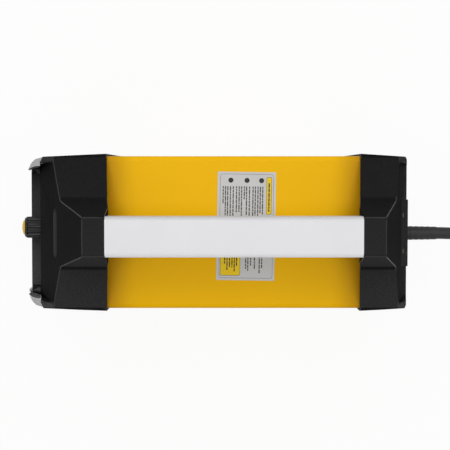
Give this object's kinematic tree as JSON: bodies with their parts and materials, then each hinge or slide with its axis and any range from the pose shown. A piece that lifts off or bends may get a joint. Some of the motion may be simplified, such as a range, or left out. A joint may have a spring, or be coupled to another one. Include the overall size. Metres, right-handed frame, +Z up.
{
  "type": "car battery charger",
  "caption": "Portable car battery charger: steel cover between black bezels, carrying handle, control knob, output sockets, fan and mains cord.",
  "frame": {"origin": "middle of the base on the floor, without the mains cord", "axes": "+X across, +Y from the front to the rear along the length, +Z up"},
  "size_m": [0.1747, 0.561, 0.247],
  "materials": {
    "cover_paint": "smooth glossy yellow enamel on steel sheet",
    "bezel_plastic": "fine spark-eroded texture",
    "handle_plastic": "smooth pale grey moulding",
    "guard_silver": "silver lacquer",
    "zinc": "yellowish zinc plating",
    "steel": "bright zinc plating",
    "galvanised": "galvanised sheet",
    "sticker": "pale printed film without words",
    "panel_plastic": "fine texture",
    "window_plastic": "dark tinted window",
    "module_plastic": "moulded display body",
    "board": "printed circuit laminate",
    "white_plastic": "smooth",
    "black_gloss": "polished black moulding",
    "knob_plastic": "satin black",
    "yellow_plastic": "smooth yellow moulding",
    "red_plastic": "smooth red moulding",
    "lamp_green": "green lens",
    "ribbon": "grey flat cable",
    "brass": "machined brass",
    "copper": "bare copper bar",
    "rear_paint": "satin black powder coat",
    "fan_plastic": "moulded fan plastic",
    "aluminium": "extruded aluminium",
    "ferrite": "ferrite core under tape",
    "capacitor_sleeve": "dark sleeve on aluminium can",
    "foot_rubber": "black rubber",
    "cord_rubber": "black rubber sheath"
  },
  "bodies": {
    "housing": {"case_cover": "cover_paint", "base_tray": "galvanised", "front_bezel": "bezel_plastic", "rear_bezel": "bezel_plastic", "handle_bar": "handle_plastic", "handle_core": "steel", "handle_bolts": "steel", "guard_left": "guard_silver", "guard_right": "guard_silver", "guard_screws": "steel", "label_sticker": "sticker", "cover_screws": "steel", "control_panel": "panel_plastic", "display_window": "window_plastic", "display_module": "module_plastic", "control_board": "board", "board_posts": "white_plastic", "board_screws": "steel", "potentiometer": "steel", "button_switches": "black_gloss", "status_lamps": "lamp_green", "panel_ribbon": "ribbon", "socket_panel": "panel_plastic", "positive_socket": "black_gloss", "negative_socket": "black_gloss", "positive_ring": "red_plastic", "negative_ring": "black_gloss", "socket_contacts": "brass", "socket_nuts": "black_gloss", "copper_bars": "copper", "rear_panel": "rear_paint", "rear_panel_screws": "steel", "rear_top_screws": "zinc", "fan_frame": "fan_plastic", "fan_guard": "steel", "fan_screws": "steel", "switch_frame": "black_gloss", "fuse_holder": "black_gloss", "fuse_cap": "black_gloss", "power_board": "board", "power_board_feet": "brass", "heatsinks": "aluminium", "power_transistors": "black_gloss", "transformer": "ferrite", "output_choke": "copper", "filter_capacitors": "capacitor_sleeve", "rubber_feet": "foot_rubber", "foot_screws": "steel", "cord_gland": "black_gloss", "strain_relief": "cord_rubber", "cord_run": "cord_rubber", "cord_coil": "cord_rubber", "mains_plug": "cord_rubber"},
    "knob": {"control_knob": "knob_plastic", "knob_cap": "yellow_plastic", "knob_shaft": "steel"},
    "mode_button": {"mode_button": "white_plastic"},
    "start_button": {"start_button": "yellow_plastic"},
    "rocker": {"switch_rocker": "red_plastic"},
    "fan": {"fan_rotor": "fan_plastic"}
  },
  "joints": [
    {"name": "knob_turn", "type": "hinge", "parent": "housing", "child": "knob", "pos_m": [-0.002, -0.14461, 0.11745], "axis": [0, -0.9903, 0.1392], "range_deg": [-135, 135]},
    {"name": "mode_press", "type": "slide", "parent": "housing", "child": "mode_button", "axis": [0, 0.9903, -0.1392], "range_m": [0, 0.0015], "stiffness_N_per_m": 600, "springref_m": -0.001},
    {"name": "start_press", "type": "slide", "parent": "housing", "child": "start_button", "axis": [0, 0.9903, -0.1392], "range_m": [0, 0.0015], "stiffness_N_per_m": 600, "springref_m": -0.001},
    {"name": "rocker_tip", "type": "hinge", "parent": "housing", "child": "rocker", "pos_m": [-0.033, 0.156, 0.1095], "axis": [1, 0, 0], "range_deg": [-20, 0]},
    {"name": "fan_spin", "type": "hinge", "parent": "housing", "child": "fan", "pos_m": [0, 0.1426, 0.055], "axis": [0, 1, 0], "continuous": true}
  ]
}
